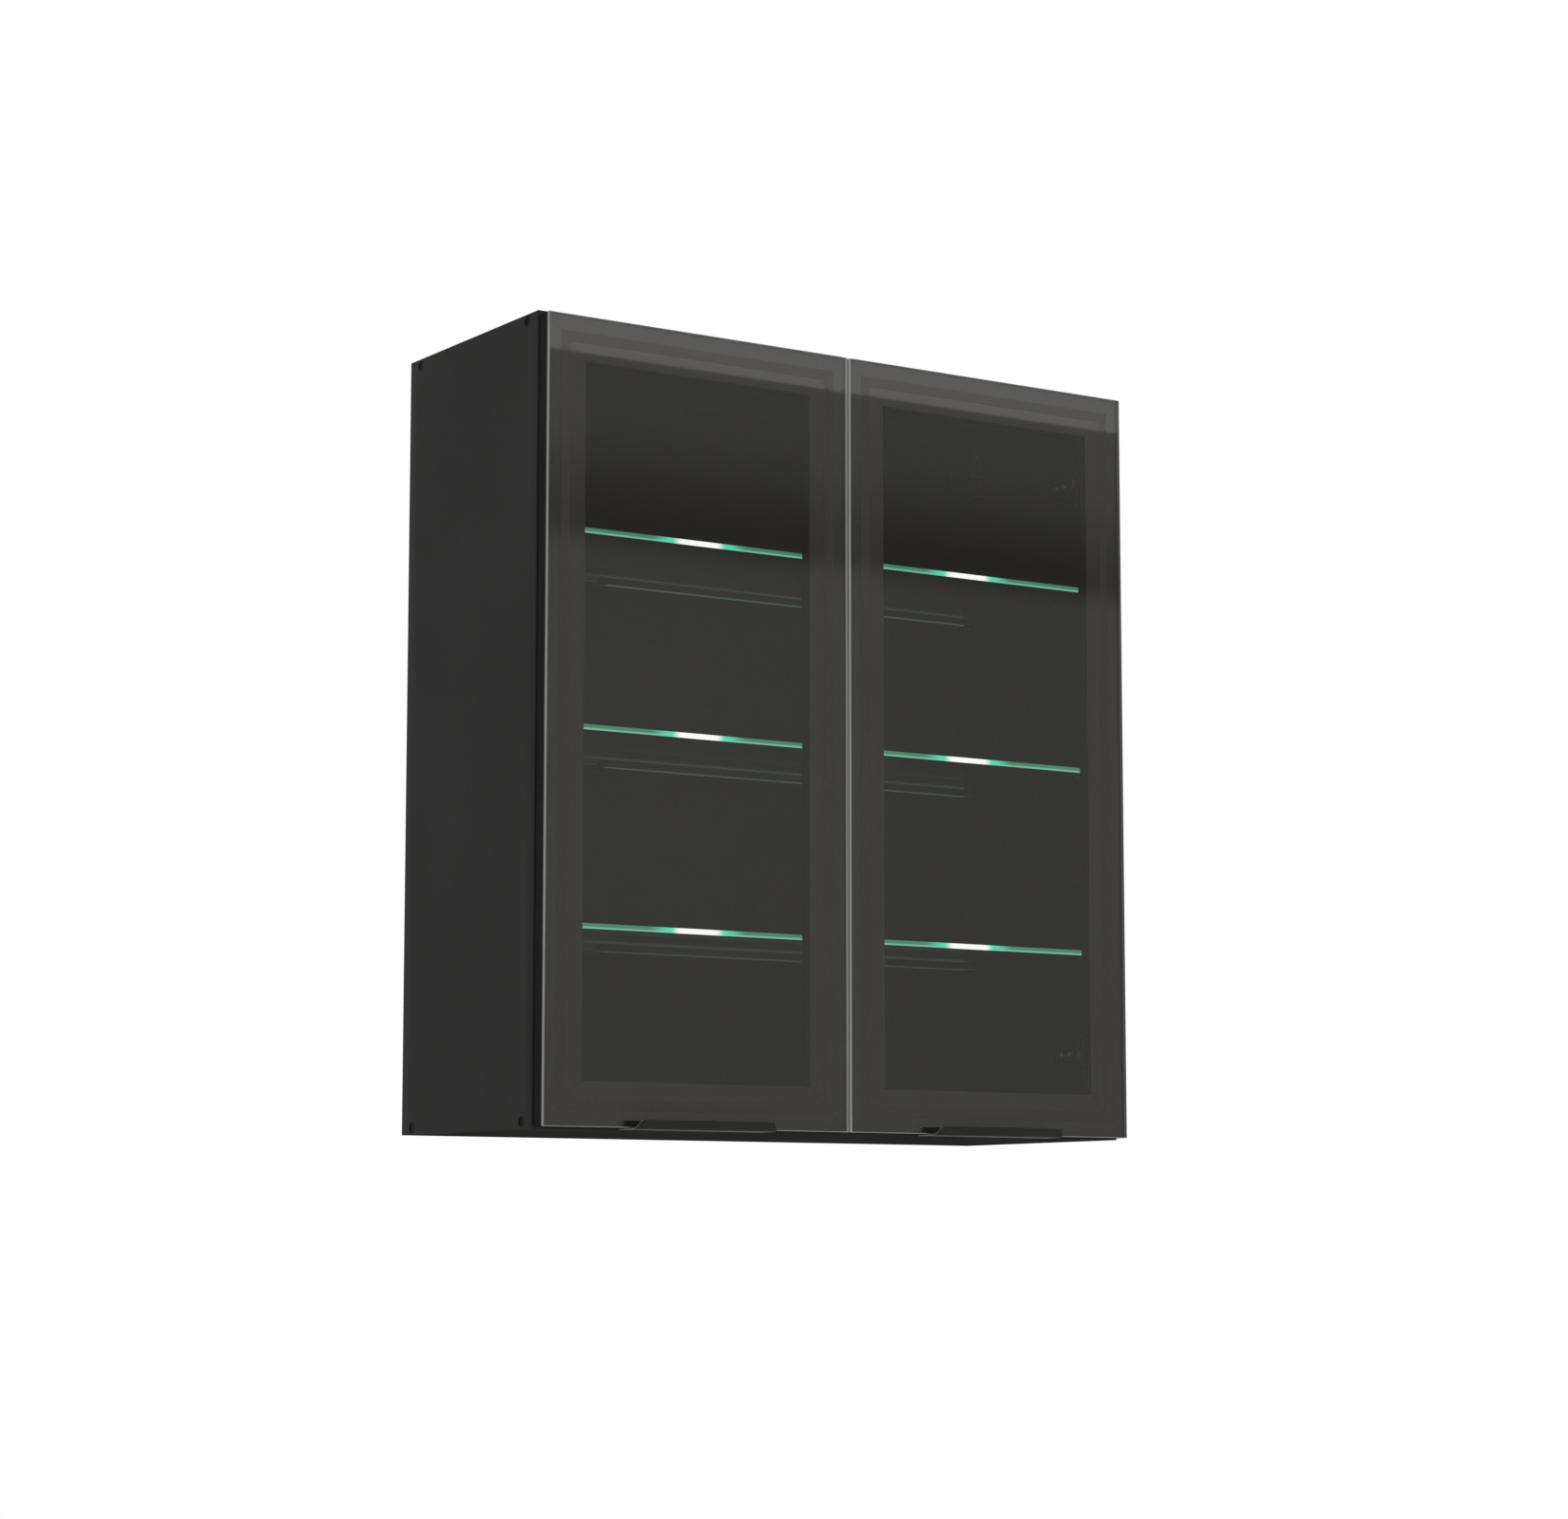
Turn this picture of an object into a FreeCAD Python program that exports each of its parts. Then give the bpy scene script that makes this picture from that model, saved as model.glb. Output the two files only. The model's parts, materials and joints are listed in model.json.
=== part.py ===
"""Wall-hung display cabinet with two framed glass doors, three lit glass shelves and edge pulls.

Millimetres. X runs to the right, Y runs back to the wall and Z runs up. The origin lies on the wall,
midway between the two hanger hooks, at the underside of the hooks where they bear on the wall rail.
"""
import FreeCAD, Part
import math
import os

V = FreeCAD.Vector
X_AXIS = V(1, 0, 0)
Y_AXIS = V(0, 1, 0)
Z_AXIS = V(0, 0, 1)

# Carcass
cabinet_width = 800.0
cabinet_height = 900.0
cabinet_depth = 300.0
board = 16.0
edge_band = 1.0
back_board = 3.0
back_inset = 12.0
groove_depth = 8.0
groove_play = 0.1
hook_drop = 45.0

# Glass shelves
shelf_count = 3
shelf_first_height = 222.0
shelf_pitch = 219.5
shelf_glass = 6.0
shelf_front_setback = 4.0
shelf_side_play = 1.0
shelf_arris = 0.6
shelf_pin_radius = 2.5
shelf_pin_depth = 9.0
shelf_peg_reach = 8.0
shelf_peg_width = 9.0
shelf_peg_height = 6.0
shelf_pad = 1.0
shelf_pin_margin = 37.0

# Clip-on shelf lights
clip_offset = 187.0
clip_length = 66.0
clip_grip = 15.0
clip_back_wall = 2.5
clip_jaw = 3.2
clip_play = 0.2
lens_depth = 1.6
lens_end_margin = 3.0
clip_back_gap = 1.5
clip_screw_radius = 1.5

# Doors
door_side_reveal = 1.5
door_middle_gap = 3.0
door_top_reveal = 5.0
door_bottom_reveal = 2.0
door_back_gap = 1.5
frame_width = 50.0
frame_thickness = 16.0
tape_thickness = 0.5
tape_width = 12.0
tape_margin = 18.0
door_glass = 4.0
door_arris = 0.8
corner_dowel_radius = 4.0
corner_dowel_length = 34.0
bumper_radius = 4.0
bumper_play = 0.2
bumper_inset = 18.0

# Edge pulls
pull_length = 184.0
pull_sheet = 1.5
pull_flange_height = 20.0
pull_reach = 13.5
pull_lip_height = 9.5
pull_lip_lean = 6.5
pull_end_cut = 6.5
pull_play = 0.3
pull_rebate_play = 0.1
pull_screw_count = 3
pull_screw_pitch = 70.0
pull_screw_radius = 1.6
pull_screw_head_radius = 3.0
pull_screw_length = 11.0

# Carcass fastenings
screw_front_margin = 24.0
cap_radius = 6.0
cap_thickness = 1.5
confirmat_head_radius = 4.5
confirmat_head_length = 4.0
confirmat_radius = 3.2
confirmat_length = 50.0
panel_dowel_radius = 4.0
panel_dowel_length = 30.0
panel_dowel_in_side = 11.0
panel_dowel_margin = 90.0

# Hangers
hanger_width = 20.0
hanger_height = 62.0
hanger_depth = 46.0
hanger_top_gap = 3.0
hook_width = 12.0
hook_sheet = 2.0
hook_lip = 10.0
hook_tail = 32.0
hook_slot_play = 0.2
notch_play = 3.5
hanger_peg_radius = 5.0
hanger_peg_depth = 10.0
hanger_peg_pitch = 32.0
hanger_screw_radius = 3.5
hanger_screw_length = 16.0
hanger_screw_pitch = 24.0

# Concealed hinges
hinge_end_margin = 100.0
cup_radius = 17.5
cup_edge_distance = 5.0
cup_depth = 12.5
cup_wall = 1.0
cup_floor = 0.8
cup_flange = 0.8
cup_flange_half = 28.0
cup_flange_width = 15.0
cup_screw_pitch = 45.0
cup_screw_offset = 9.5
cup_screw_radius = 1.75
cup_screw_head_radius = 3.4
cup_screw_head = 0.6
cup_screw_length = 9.0
hinge_pin_radius = 1.25
hinge_pin_play = 0.05
cup_pin_inset = 0.1
arm_half_width = 8.0
arm_sheet = 1.6
arm_play = 0.8
arm_cheek_gap = 3.0
arm_web_setback = 8.0
spine_setback = 4.0
link_sheet = 1.4
link_web_gap = 2.3
link_half_width = 2.2
link_bush_radius = 1.8
plate_base = 2.5
plate_half_height = 25.0
plate_wing = 16.0
plate_line = 37.0
plate_screw_pitch = 32.0
plate_screw_radius = 3.0
plate_screw_length = 12.0
plate_screw_head_radius = 4.5
plate_screw_head = 1.8
arm_rear = 66.0
arm_screw_radius = 2.0
arm_screw_head_radius = 3.5
arm_screw_head = 1.2
arm_screw_lines = (40.0, 56.0)
spring_sheet = 0.6
spring_length = 16.0
spring_spine_gap = 1.0
spring_cheek_gap = 2.0
# The arm's pin from the side's inner face and behind the front edge, the cup's pin from the cup's
# centre and into the cup, and the link's bend from the cup's pin
arm_pin_inward = 19.0
arm_pin_behind = 12.9
cup_pin_outward = 11.8
cup_pin_depth = 5.0
link_bend_inward = 7.7
link_bend_deeper = 3.9

# Worked-out places
side_x = cabinet_width / 2
inner_x = side_x - board
top_z = hook_drop
bottom_z = hook_drop - cabinet_height
under_top_z = top_z - board
over_bottom_z = bottom_z + board
front_y = -cabinet_depth
panel_front_y = front_y + edge_band
back_front_y = -back_inset - back_board
door_bottom_z = bottom_z + door_bottom_reveal
door_top_z = top_z - door_top_reveal
door_width = (cabinet_width - 2 * door_side_reveal - door_middle_gap) / 2
door_left_u = door_side_reveal
door_right_u = door_side_reveal + door_width
frame_back_v = door_back_gap
frame_front_v = frame_back_v + frame_thickness
glass_back_v = frame_front_v + tape_thickness
glass_front_v = glass_back_v + door_glass
cup_centre_u = door_side_reveal + cup_edge_distance + cup_radius
hinge_levels = (door_bottom_z + hinge_end_margin, door_top_z - hinge_end_margin)
cabinet_pivot = (board + arm_pin_inward, -arm_pin_behind)
door_pivot = (cup_centre_u - cup_pin_outward, frame_back_v + cup_pin_depth)
link_bend = (door_pivot[0] + link_bend_inward, door_pivot[1] + link_bend_deeper)
plate_top_u = board + plate_base
web_outer_u = cabinet_pivot[0] + link_half_width + link_web_gap + arm_sheet
web_inner_u = web_outer_u - arm_sheet


def box(x0, x1, y0, y1, z0, z1):
    """A block between two opposite corners, given in any order."""
    low = V(min(x0, x1), min(y0, y1), min(z0, z1))
    return Part.makeBox(abs(x1 - x0), abs(y1 - y0), abs(z1 - z0), low)


def rod(start, axis, radius, length):
    return Part.makeCylinder(radius, length, start, axis)


def cut(host, tools):
    """The host with every tool taken out of it, as one clean solid."""
    result = host.cut(list(tools)) if tools else host
    return result.Solids[0].removeSplitter() if len(result.Solids) == 1 else result.removeSplitter()


def join(shapes):
    result = shapes[0].fuse(list(shapes[1:])).removeSplitter()
    return result.Solids[0] if len(result.Solids) == 1 else result


def mirrored(shape):
    """The same piece on the other side of the cabinet."""
    return shape.mirror(V(0, 0, 0), X_AXIS)


def both_sides(shapes):
    return list(shapes) + [mirrored(shape) for shape in shapes]


def arrised(shape, size):
    """Glass with its sharp edges ground off."""
    return shape.makeChamfer(size, shape.Edges)


def left(u, v, z):
    """A point by its distance inward from the left side's face and forward of the carcass."""
    return V(u - side_x, front_y - v, z)


def left_box(u0, u1, v0, v1, z0, z1):
    return box(u0 - side_x, u1 - side_x, front_y - v0, front_y - v1, z0, z1)


def left_plate(outline, z0, z1):
    """A level plate from an outline of (inward, forward) points."""
    points = [left(u, v, z0) for u, v in outline]
    return Part.Face(Part.makePolygon(points + points[:1])).extrude(V(0, 0, z1 - z0))


def front_prism(outline, v0, v1):
    """An upright plate from an outline of (inward, height) points."""
    points = [left(u, v0, z) for u, z in outline]
    return Part.Face(Part.makePolygon(points + points[:1])).extrude(V(0, v0 - v1, 0))


def bar_outline(start, end, half_width):
    """The four corners of a straight bar between two points of a plane."""
    run = math.hypot(end[0] - start[0], end[1] - start[1])
    across = (-(end[1] - start[1]) / run * half_width, (end[0] - start[0]) / run * half_width)
    return [(start[0] + across[0], start[1] + across[1]), (end[0] + across[0], end[1] + across[1]),
            (end[0] - across[0], end[1] - across[1]), (start[0] - across[0], start[1] - across[1])]


def save(name, shapes):
    """One STEP file for one node, holding one solid or a group of them."""
    shapes = [shapes] if hasattr(shapes, "exportStep") else list(shapes)
    solids = [solid for shape in shapes for solid in shape.Solids]
    shape = solids[0] if len(solids) == 1 else Part.makeCompound(solids)
    if not shape.isValid():
        raise ValueError(name + " is not a valid shape")
    shape.exportStep("parts/" + name + ".step")
    print(name, len(solids), "solid(s)", round(shape.Volume / 1000, 2), "cm3")


# Carcass fastenings

def panel_lines():
    """The middle heights of the bottom and top panels, where their fastenings run."""
    return (bottom_z + board / 2, top_z - board / 2)


def fastening_rows(front_margin):
    return (front_y + front_margin, -front_margin)


def confirmat_screws():
    """The left side's four screws, with their heads under the caps."""
    screws = []
    for z in panel_lines():
        for y in fastening_rows(screw_front_margin):
            head = V(-side_x + cap_thickness, y, z)
            shank = V(-side_x + cap_thickness + confirmat_head_length, y, z)
            screws.append(join([rod(head, X_AXIS, confirmat_head_radius, confirmat_head_length),
                                rod(shank, X_AXIS, confirmat_radius, confirmat_length)]))
    return screws


def screw_caps():
    caps = []
    for z in panel_lines():
        for y in fastening_rows(screw_front_margin):
            caps.append(rod(V(-side_x, y, z), X_AXIS, cap_radius, cap_thickness))
    return caps


def panel_dowels():
    dowels = []
    for z in panel_lines():
        for y in fastening_rows(panel_dowel_margin):
            start = V(-inner_x - panel_dowel_in_side, y, z)
            dowels.append(rod(start, X_AXIS, panel_dowel_radius, panel_dowel_length))
    return dowels


# Shelves and their lights

def shelf_heights():
    """The underside of each shelf, from the lowest up."""
    return [bottom_z + shelf_first_height + shelf_pitch * n - shelf_glass / 2 for n in range(shelf_count)]


def shelf_back_y():
    return back_front_y - clip_back_gap - clip_back_wall - lens_depth


def glass_shelf(z):
    half = inner_x - shelf_side_play
    pane = box(-half, half, front_y + shelf_front_setback, shelf_back_y(), z, z + shelf_glass)
    return arrised(pane, shelf_arris)


def shelf_pins():
    """A pin in the left side, with a peg that carries the shelf's pad."""
    pins = []
    for z in shelf_heights():
        top = z - shelf_pad
        for y in fastening_rows(shelf_pin_margin):
            centre = top - shelf_peg_height / 2
            pin = rod(V(-inner_x - shelf_pin_depth, y, centre), X_AXIS, shelf_pin_radius, shelf_pin_depth)
            peg = box(-inner_x, -inner_x + shelf_peg_reach, y - shelf_peg_width / 2, y + shelf_peg_width / 2,
                      top - shelf_peg_height, top)
            pins.append(join([pin, peg]))
    return pins


def shelf_pads():
    pads = []
    for z in shelf_heights():
        for y in fastening_rows(shelf_pin_margin):
            pads.append(box(-inner_x + shelf_side_play, -inner_x + shelf_peg_reach,
                            y - shelf_peg_width / 2, y + shelf_peg_width / 2, z - shelf_pad, z))
    return pads


def clip_screw(z, x):
    length = clip_jaw + clip_play
    return rod(V(x, shelf_back_y() - clip_grip / 2, z - length), Z_AXIS, clip_screw_radius, length)


def led_clip(z, x):
    """A channel that grips the back edge of a shelf, open towards the front."""
    x0 = x - clip_length / 2
    x1 = x + clip_length / 2
    back_y = shelf_back_y() + lens_depth + clip_back_wall
    shell = box(x0, x1, shelf_back_y() - clip_grip, back_y, z - clip_play - clip_jaw,
                z + shelf_glass + clip_play + clip_jaw)
    slot = box(x0, x1, shelf_back_y() - clip_grip, shelf_back_y() + lens_depth, z - clip_play,
               z + shelf_glass + clip_play)
    return cut(shell, [slot, clip_screw(z, x)])


def led_lens(z, x):
    half = clip_length / 2 - lens_end_margin
    return box(x - half, x + half, shelf_back_y(), shelf_back_y() + lens_depth, z, z + shelf_glass)


def at_clips(make):
    return [make(z, x) for z in shelf_heights() for x in (-clip_offset, clip_offset)]


# Hangers

def hanger_centre_x():
    return -inner_x + hanger_width / 2


def hanger_housing_z():
    return (under_top_z - hanger_top_gap - hanger_height, under_top_z - hanger_top_gap)


def hanger_hook():
    """A flat strip that comes out through the back and turns down over the wall rail."""
    x0 = hanger_centre_x() - hook_width / 2
    x1 = hanger_centre_x() + hook_width / 2
    strip = box(x0, x1, back_front_y - hook_tail, 0, 0, hook_sheet)
    lip = box(x0, x1, -hook_sheet, 0, -hook_lip, hook_sheet)
    return join([strip, lip])


def hanger_screws():
    screws = []
    for z in (hook_sheet / 2 - hanger_screw_pitch / 2, hook_sheet / 2 + hanger_screw_pitch / 2):
        start = V(hanger_centre_x(), back_front_y - hanger_depth, z)
        screws.append(rod(start, Y_AXIS, hanger_screw_radius, hanger_screw_length))
    return screws


def hanger_pegs():
    pegs = []
    middle = sum(hanger_housing_z()) / 2
    for z in (middle - hanger_peg_pitch / 2, middle + hanger_peg_pitch / 2):
        start = V(-inner_x - hanger_peg_depth, back_front_y - hanger_depth / 2, z)
        pegs.append(rod(start, X_AXIS, hanger_peg_radius, hanger_peg_depth))
    return pegs


def hanger_housing():
    z0, z1 = hanger_housing_z()
    shell = box(-inner_x, -inner_x + hanger_width, back_front_y - hanger_depth, back_front_y, z0, z1)
    x0 = hanger_centre_x() - hook_width / 2 - hook_slot_play
    x1 = hanger_centre_x() + hook_width / 2 + hook_slot_play
    slot = box(x0, x1, back_front_y - hook_tail - hook_slot_play, back_front_y,
               -hook_slot_play, hook_sheet + hook_slot_play)
    return cut(shell, [slot] + hanger_screws())


# Concealed hinges, cabinet half

def arm_hinge_pin(z):
    start = left(cabinet_pivot[0], cabinet_pivot[1], z - arm_half_width)
    return rod(start, Z_AXIS, hinge_pin_radius, 2 * arm_half_width)


def plate_screws(z):
    screws = []
    for level in (z - plate_screw_pitch / 2, z + plate_screw_pitch / 2):
        head = left(plate_top_u + plate_screw_head, -plate_line, level)
        shank = left(plate_top_u, -plate_line, level)
        screws.append(join([rod(head, -X_AXIS, plate_screw_head_radius, plate_screw_head),
                            rod(shank, -X_AXIS, plate_screw_radius, plate_screw_length)]))
    return screws


def arm_screws(z):
    screws = []
    for line in arm_screw_lines:
        head = left(web_outer_u + arm_screw_head, -line, z)
        length = web_outer_u - board - plate_base
        screws.append(join([rod(head, -X_AXIS, arm_screw_head_radius, arm_screw_head),
                            rod(left(web_outer_u, -line, z), -X_AXIS, arm_screw_radius, length)]))
    return screws


def spine_half_width():
    return arm_half_width - arm_sheet - arm_play / 2


def spine_front():
    return arm_screw_lines[0] - arm_screw_head_radius - spine_setback


def mounting_plate(z):
    """A winged base on the cabinet side, with a spine that the arm sits on."""
    base = left_box(board, plate_top_u, -plate_line - plate_wing / 2, -plate_line + plate_wing / 2,
                    z - plate_half_height, z + plate_half_height)
    half = spine_half_width()
    spine = left_box(board, web_inner_u, -arm_rear, -spine_front(), z - half, z + half)
    return cut(join([base, spine]), plate_screws(z) + arm_screws(z))


def hinge_arm(z):
    """A channel over the spine whose two cheeks reach forward to the link's pin."""
    root_u = plate_top_u + arm_cheek_gap
    nose_radius = web_outer_u - cabinet_pivot[0]
    web = left_box(web_inner_u, web_outer_u, -arm_rear, cabinet_pivot[1] - arm_web_setback,
                   z - arm_half_width, z + arm_half_width)
    cheeks = []
    for low in (z - arm_half_width, z + arm_half_width - arm_sheet):
        cheek = left_box(root_u, web_outer_u, -arm_rear, cabinet_pivot[1], low, low + arm_sheet)
        nose = rod(left(cabinet_pivot[0], cabinet_pivot[1], low), Z_AXIS, nose_radius, arm_sheet)
        cheeks.append(join([cheek, nose]))
    return cut(join([web] + cheeks), [arm_hinge_pin(z)] + arm_screws(z))


def closing_spring(z):
    """A leaf under the arm's web, ahead of the spine."""
    rear = -spine_front() + spring_spine_gap
    half = spine_half_width() - spring_cheek_gap
    return left_box(web_inner_u - spring_sheet, web_inner_u, rear, rear + spring_length, z - half, z + half)


# Concealed hinges, link and cup

def cup_hinge_pin(z):
    """A pin right across the cup, its ends dressed flush with the cup's wall."""
    pin = rod(left(door_pivot[0], door_pivot[1], z - cup_radius), Z_AXIS, hinge_pin_radius, 2 * cup_radius)
    wall = rod(left(cup_centre_u, frame_back_v, z), -Y_AXIS, cup_radius - cup_pin_inset, cup_depth)
    return pin.common(wall).Solids[0]


def hinge_link(z):
    """Two bent cheeks on a shared bush, running on the arm's pin and the cup's pin."""
    half = arm_half_width - arm_sheet - arm_play
    pieces = []
    for low in (z - half, z + half - link_sheet):
        for start, end in ((cabinet_pivot, link_bend), (link_bend, door_pivot)):
            pieces.append(left_plate(bar_outline(start, end, link_half_width), low, low + link_sheet))
        for point in (cabinet_pivot, link_bend, door_pivot):
            pieces.append(rod(left(point[0], point[1], low), Z_AXIS, link_half_width, link_sheet))
    pieces.append(rod(left(cabinet_pivot[0], cabinet_pivot[1], z - half), Z_AXIS, link_half_width, 2 * half))
    pieces.append(rod(left(link_bend[0], link_bend[1], z - half), Z_AXIS, link_bush_radius, 2 * half))
    bores = []
    for point in (cabinet_pivot, door_pivot):
        start = left(point[0], point[1], z - arm_half_width)
        bores.append(rod(start, Z_AXIS, hinge_pin_radius + hinge_pin_play, 2 * arm_half_width))
    return cut(join(pieces), bores)


def cup_screws(z):
    screws = []
    for level in (z - cup_screw_pitch / 2, z + cup_screw_pitch / 2):
        head = left(cup_centre_u + cup_screw_offset, frame_back_v - cup_flange - cup_screw_head, level)
        shank = left(cup_centre_u + cup_screw_offset, frame_back_v - cup_flange, level)
        screws.append(join([rod(head, -Y_AXIS, cup_screw_head_radius, cup_screw_head),
                            rod(shank, -Y_AXIS, cup_screw_radius, cup_screw_length)]))
    return screws


def cup_bore(z):
    return rod(left(cup_centre_u, frame_back_v, z), -Y_AXIS, cup_radius, cup_depth)


def hinge_cup(z):
    """A flanged cup let into the door frame, open towards the cabinet."""
    body = cup_bore(z)
    ring = rod(left(cup_centre_u, frame_back_v - cup_flange, z), -Y_AXIS, cup_radius, cup_flange)
    flange = left_box(cup_centre_u, cup_centre_u + cup_flange_width, frame_back_v - cup_flange, frame_back_v,
                      z - cup_flange_half, z + cup_flange_half)
    cavity = rod(left(cup_centre_u, frame_back_v - cup_flange, z), -Y_AXIS, cup_radius - cup_wall,
                 cup_flange + cup_depth - cup_floor)
    return cut(join([body, ring, flange]), [cavity, cup_hinge_pin(z)] + cup_screws(z))


# Door frame, glass and pull

def corner_dowels():
    """One dowel square across each mitre of the frame."""
    dowels = []
    inset = frame_width / 2
    middle_v = (frame_back_v + frame_front_v) / 2
    reach = corner_dowel_length / 2 / math.sqrt(2)
    for u, side in ((door_left_u + inset, 1), (door_right_u - inset, -1)):
        for z, rise in ((door_bottom_z + inset, 1), (door_top_z - inset, -1)):
            axis = V(side, 0, -rise)
            start = left(u - side * reach, middle_v, z + rise * reach)
            dowels.append(rod(start, axis, corner_dowel_radius, corner_dowel_length))
    return dowels


def frame_members():
    """The four mitred members of the left frame, each a plain prism before it is drilled."""
    u0, u1, z0, z1 = door_left_u, door_right_u, door_bottom_z, door_top_z
    w = frame_width
    outlines = {
        "hinge_stile": [(u0, z0), (u0 + w, z0 + w), (u0 + w, z1 - w), (u0, z1)],
        "free_stile": [(u1, z0), (u1 - w, z0 + w), (u1 - w, z1 - w), (u1, z1)],
        "top_rail": [(u0, z1), (u0 + w, z1 - w), (u1 - w, z1 - w), (u1, z1)],
        "bottom_rail": [(u0, z0), (u0 + w, z0 + w), (u1 - w, z0 + w), (u1, z0)],
    }
    return {name: front_prism(outline, frame_back_v, frame_front_v) for name, outline in outlines.items()}


def bonding_tape():
    u0, u1 = door_left_u + tape_margin, door_right_u - tape_margin
    z0, z1 = door_bottom_z + tape_margin, door_top_z - tape_margin
    strips = [left_box(u0, u0 + tape_width, frame_front_v, glass_back_v, z0, z1),
              left_box(u1 - tape_width, u1, frame_front_v, glass_back_v, z0, z1)]
    for low in (z0, z1 - tape_width):
        strips.append(left_box(u0 + tape_width, u1 - tape_width, frame_front_v, glass_back_v,
                               low, low + tape_width))
    return strips


def door_pane():
    pane = left_box(door_left_u, door_right_u, glass_back_v, glass_front_v, door_bottom_z, door_top_z)
    return arrised(pane, door_arris)


def door_bumpers():
    """Soft dots on the free stile that meet the front edges of the top and bottom panels."""
    thickness = door_back_gap - bumper_play
    bumpers = []
    for z in (door_bottom_z + (board - door_bottom_reveal) / 2, door_top_z - (board - door_top_reveal) / 2):
        bumpers.append(rod(left(door_right_u - bumper_inset, frame_back_v - thickness, z), -Y_AXIS,
                           bumper_radius, thickness))
    return bumpers


def pull_middle_u():
    return (door_left_u + door_right_u) / 2


def pull_flange_v():
    return frame_back_v + pull_rebate_play


def pull_rebate():
    """The shallow seat for the pull's flange in the back of the bottom rail."""
    half = pull_length / 2 + pull_play
    return left_box(pull_middle_u() - half, pull_middle_u() + half,
                    frame_back_v, pull_flange_v() + pull_sheet,
                    door_bottom_z, door_bottom_z + pull_flange_height + pull_play)


def pull_profile():
    """The bent sheet's outline in (forward, height), from the flange under the door to the lip."""
    base_z = door_bottom_z - pull_play - pull_sheet
    foot_v = glass_front_v + pull_reach
    slope = math.hypot(pull_lip_lean, pull_lip_height)
    across_v = -pull_sheet * pull_lip_height / slope
    across_z = pull_sheet * pull_lip_lean / slope
    inner_run = pull_sheet * (slope - pull_lip_lean) / pull_lip_height
    inner_foot = (foot_v + across_v + inner_run * pull_lip_lean / slope, base_z + pull_sheet)
    flange_v = pull_flange_v()
    flange_top = door_bottom_z + pull_flange_height
    return [(flange_v, flange_top), (flange_v, base_z), (foot_v, base_z),
            (foot_v + pull_lip_lean, base_z + pull_lip_height),
            (foot_v + pull_lip_lean + across_v, base_z + pull_lip_height + across_z),
            inner_foot, (flange_v + pull_sheet, base_z + pull_sheet), (flange_v + pull_sheet, flange_top)]


def pull_screws():
    screws = []
    z = door_bottom_z + pull_flange_height / 2
    for n in range(pull_screw_count):
        u = pull_middle_u() + (n - (pull_screw_count - 1) / 2) * pull_screw_pitch
        start = left(u, pull_flange_v(), z)
        head = Part.makeCone(pull_screw_head_radius, pull_screw_radius, pull_sheet, start, -Y_AXIS)
        shank = rod(left(u, pull_flange_v() + pull_sheet, z), -Y_AXIS, pull_screw_radius,
                    pull_screw_length - pull_sheet)
        screws.append(join([head, shank]))
    return screws


def edge_pull():
    """The pull along the bottom edge of the left door, its lip trimmed back towards the top."""
    half = pull_length / 2
    points = [left(pull_middle_u() - half, v, z) for v, z in pull_profile()]
    sheet = Part.Face(Part.makePolygon(points + points[:1])).extrude(V(pull_length, 0, 0))
    foot_z = door_bottom_z - pull_play
    rise = pull_lip_height + pull_sheet
    lean = pull_end_cut * rise / pull_lip_height
    trims = []
    for side in (-1, 1):
        end = pull_middle_u() + side * half
        outline = [(end + side, foot_z), (end, foot_z), (end - side * lean, foot_z + rise),
                   (end + side, foot_z + rise)]
        trims.append(front_prism(outline, glass_front_v, glass_front_v + pull_reach + pull_lip_lean))
    return cut(sheet, trims + pull_screws())


# Carcass panels

def back_groove():
    """The room for the back panel's edges in the four boards around it."""
    reach = groove_depth
    return box(-inner_x - reach, inner_x + reach, back_front_y - groove_play, -back_inset + groove_play,
               over_bottom_z - reach, under_top_z + reach)


def back_panel():
    reach = groove_depth - groove_play
    panel = box(-inner_x - reach, inner_x + reach, back_front_y, -back_inset, over_bottom_z - reach,
                under_top_z + reach)
    half = hook_width / 2 + notch_play
    notch = box(hanger_centre_x() - half, hanger_centre_x() + half, back_front_y, -back_inset,
                -hook_lip - notch_play, hook_sheet + notch_play)
    return cut(panel, both_sides([notch]))


def left_side_fittings():
    """Everything that is let into the left side."""
    fittings = confirmat_screws() + screw_caps() + panel_dowels() + shelf_pins() + hanger_pegs()
    for z in hinge_levels:
        fittings += plate_screws(z)
    return fittings


def left_side_panel():
    panel = box(-side_x, -inner_x, panel_front_y, 0, bottom_z, top_z)
    return cut(panel, [back_groove()] + left_side_fittings())


def level_panel(z0, z1):
    panel = box(-inner_x, inner_x, panel_front_y, 0, z0, z1)
    return cut(panel, [back_groove()] + both_sides(confirmat_screws() + panel_dowels()))


def build_carcass():
    side = left_side_panel()
    save("left_side_panel", side)
    save("right_side_panel", mirrored(side))
    save("top_panel", level_panel(under_top_z, top_z))
    save("bottom_panel", level_panel(bottom_z, over_bottom_z))
    save("back_panel", back_panel())
    save("side_edge_bands", both_sides([box(-side_x, -inner_x, front_y, panel_front_y, bottom_z, top_z)]))
    save("level_edge_bands", [box(-inner_x, inner_x, front_y, panel_front_y, bottom_z, over_bottom_z),
                              box(-inner_x, inner_x, front_y, panel_front_y, under_top_z, top_z)])
    save("confirmat_screws", both_sides(confirmat_screws()))
    save("screw_caps", both_sides(screw_caps()))
    save("panel_dowels", both_sides(panel_dowels()))


def build_shelves():
    for name, z in zip(("lower", "middle", "upper"), shelf_heights()):
        save(name + "_glass_shelf", glass_shelf(z))
    save("shelf_pins", both_sides(shelf_pins()))
    save("shelf_pads", both_sides(shelf_pads()))
    save("shelf_light_clips", at_clips(led_clip))
    save("shelf_light_lenses", at_clips(led_lens))
    save("shelf_light_screws", at_clips(clip_screw))


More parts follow.
